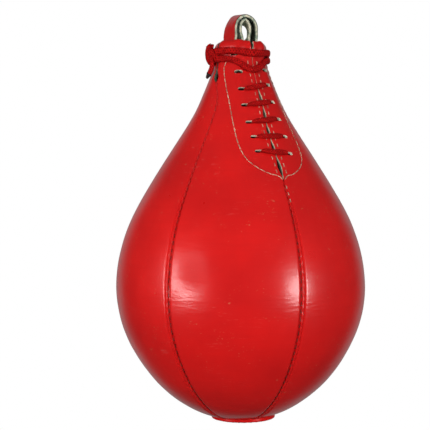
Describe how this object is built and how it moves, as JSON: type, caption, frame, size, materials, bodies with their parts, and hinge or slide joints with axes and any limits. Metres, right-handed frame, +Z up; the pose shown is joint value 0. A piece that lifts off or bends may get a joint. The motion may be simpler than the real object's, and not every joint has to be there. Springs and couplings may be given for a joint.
{
  "type": "speed bag",
  "caption": "Pear-shaped leather boxing speed bag sewn from gores over a rubber bladder, with a laced neck and a flexible leather hanging loop.",
  "frame": {"origin": "axis of the hook eye in the hanging loop, midway across the strap", "axes": "+Z up along the bag's axis, the bag hangs towards -Z; -Y out of the laced side, along the hook eye; +X to the right seen from the laced side"},
  "size_m": [0.178, 0.1792, 0.292],
  "materials": {
    "shell_leather": "glossy smooth-grain leather",
    "strap_leather": "glossy outside, raw flesh side inside",
    "raw_leather": "undyed suede flesh side",
    "welt_leather": "glossy piping strip",
    "stitch_thread": "waxed cotton thread",
    "lace_cord": "flat woven lace",
    "lace_tip": "sealed hard tip",
    "lining_cloth": "plain cotton lining",
    "bladder_rubber": "matt latex rubber"
  },
  "bodies": {
    "hang_loop": {"outer_loop_strap": "strap_leather", "inner_loop_strap": "raw_leather"},
    "bag": {"back_left_lining": "lining_cloth", "back_left_panel": "shell_leather", "back_left_seam_thread": "stitch_thread", "back_left_seam_welt": "welt_leather", "back_right_lining": "lining_cloth", "back_right_panel": "shell_leather", "back_right_seam_thread": "stitch_thread", "back_right_seam_welt": "welt_leather", "back_seam_thread": "stitch_thread", "back_seam_welt": "welt_leather", "base_disc": "shell_leather", "bladder": "bladder_rubber", "bladder_valve": "bladder_rubber", "facing_stitches": "stitch_thread", "front_left_lining": "lining_cloth", "front_left_panel": "shell_leather", "front_left_seam_thread": "stitch_thread", "front_left_seam_welt": "welt_leather", "front_right_lining": "lining_cloth", "front_right_panel": "shell_leather", "front_right_seam_thread": "stitch_thread", "front_right_seam_welt": "welt_leather", "front_seam_thread": "stitch_thread", "front_seam_welt": "welt_leather", "inner_loop_bends": "raw_leather", "inner_loop_tails": "raw_leather", "lace_knot": "lace_cord", "lace_ladder": "lace_cord", "lace_lower_wrap": "lace_cord", "lace_tail": "lace_cord", "lace_tip": "lace_tip", "lace_upper_wrap": "lace_cord", "lacing_tongue": "lining_cloth", "left_lace_facing": "raw_leather", "left_lining": "lining_cloth", "left_panel": "shell_leather", "outer_loop_bends": "strap_leather", "outer_loop_tails": "strap_leather", "right_lace_facing": "raw_leather", "right_lining": "lining_cloth", "right_panel": "shell_leather", "slit_stitches": "stitch_thread"}
  },
  "joints": [
    {"name": "loop_flex", "type": "hinge", "parent": "hang_loop", "child": "bag", "pos_m": [0, 0, -0.007], "axis": [0, 1, 0], "range_deg": [-30, 30], "deforming": ["inner_loop_bends", "outer_loop_bends"]}
  ]
}
